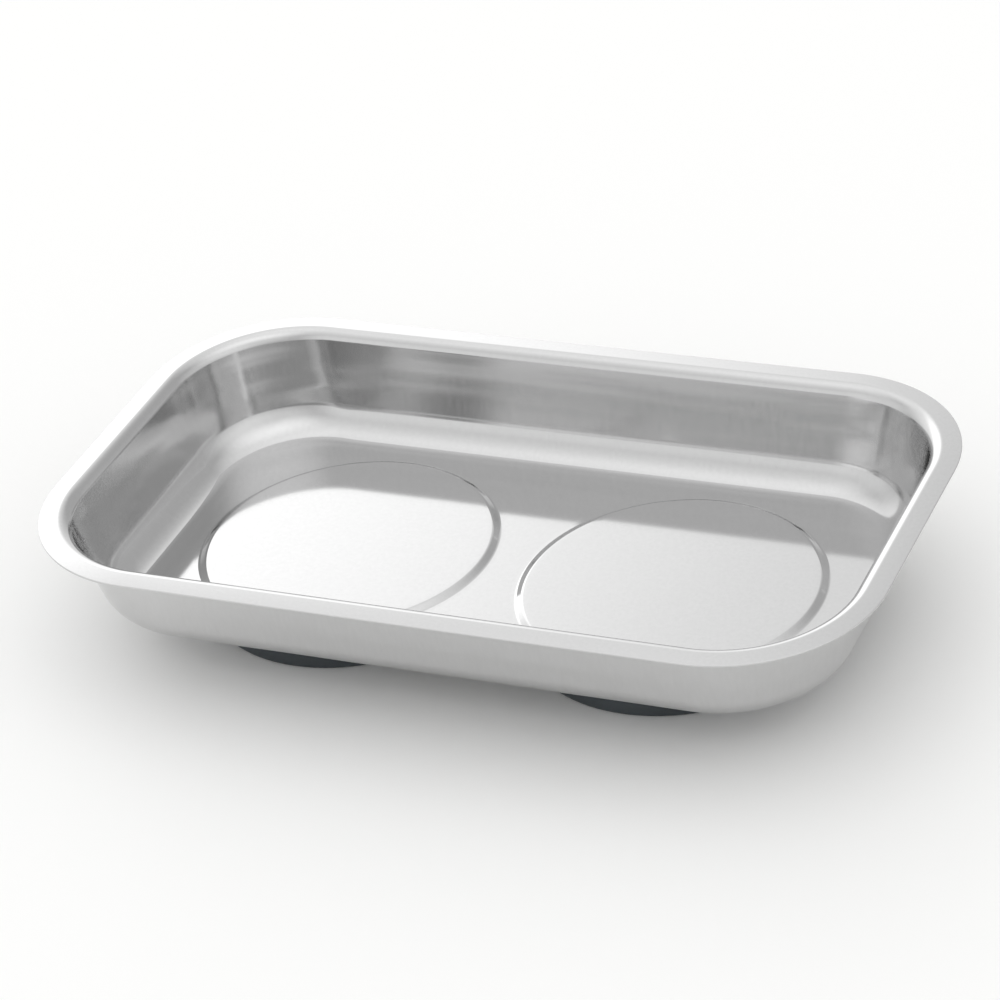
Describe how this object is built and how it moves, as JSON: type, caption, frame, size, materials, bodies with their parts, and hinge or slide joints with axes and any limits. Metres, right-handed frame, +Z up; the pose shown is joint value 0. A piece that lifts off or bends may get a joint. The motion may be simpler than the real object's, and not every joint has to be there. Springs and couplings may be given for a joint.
{
  "type": "magnetic parts tray",
  "caption": "Shallow rectangular stainless steel dish with rounded corners and a flat rim, standing on round rubber-covered magnet bases under raised seats; holds small steel parts.",
  "frame": {"origin": "on the surface the tray stands on, midway between the centres of the two magnet bases", "axes": "+X along the tray's length, +Y across its width, +Z up out of the dish"},
  "size_m": [0.241, 0.14, 0.0423],
  "materials": {
    "dish": "satin-polished stainless steel sheet",
    "cover": "smooth black moulded rubber",
    "cup": "zinc-plated pressed steel",
    "magnet": "dark grey sintered ferrite",
    "cushion": "black closed-cell foam",
    "stud": "plain stainless steel",
    "fixings": "bright zinc-plated steel"
  },
  "bodies": {
    "root": {"tray": "dish", "rubber_cover_left": "cover", "pole_cup_left": "cup", "ring_magnet_left": "magnet", "cushion_ring_left": "cushion", "weld_stud_left": "stud", "spacer_left": "fixings", "flat_washer_left": "fixings", "spring_washer_left": "fixings", "hex_nut_left": "fixings", "rubber_cover_right": "cover", "pole_cup_right": "cup", "ring_magnet_right": "magnet", "cushion_ring_right": "cushion", "weld_stud_right": "stud", "spacer_right": "fixings", "flat_washer_right": "fixings", "spring_washer_right": "fixings", "hex_nut_right": "fixings"}
  },
  "joints": []
}
